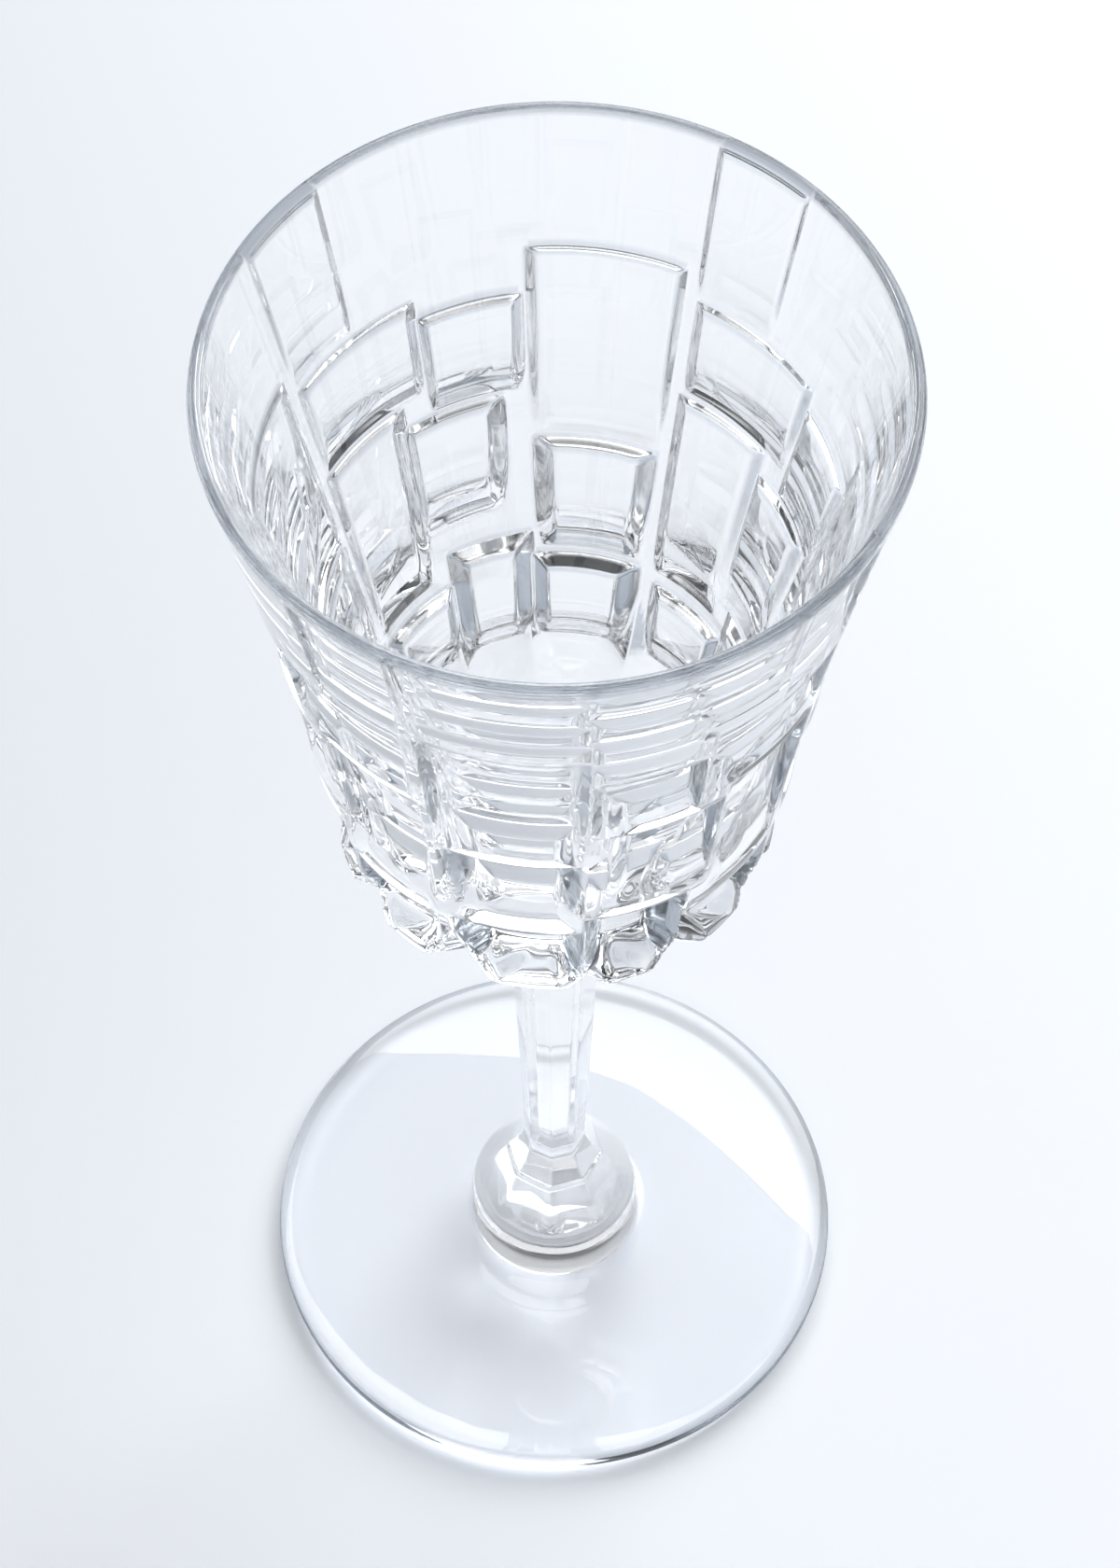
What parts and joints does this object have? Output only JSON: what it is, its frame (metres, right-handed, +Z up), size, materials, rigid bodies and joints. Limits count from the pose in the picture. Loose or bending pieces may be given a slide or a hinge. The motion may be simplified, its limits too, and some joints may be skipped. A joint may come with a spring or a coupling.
{
  "type": "white wine glass",
  "caption": "Clear stem glass for white wine: conical bowl with a relief of stepped blocks outside, faceted tapering stem, bell-shaped knop and round flat foot.",
  "frame": {"origin": "on the glass's axis, at the flat underside of the foot", "axes": "+Z up along the axis towards the rim; the picture looks along +Y and down, with +X to its right"},
  "size_m": [0.083, 0.083, 0.204],
  "materials": {
    "bowl_glass": "polished clear crystal",
    "stem_glass": "polished clear crystal",
    "knop_glass": "polished clear crystal",
    "foot_glass": "polished clear crystal"
  },
  "bodies": {
    "root": {"bowl": "bowl_glass", "stem": "stem_glass", "knop": "knop_glass", "foot": "foot_glass"}
  },
  "joints": []
}
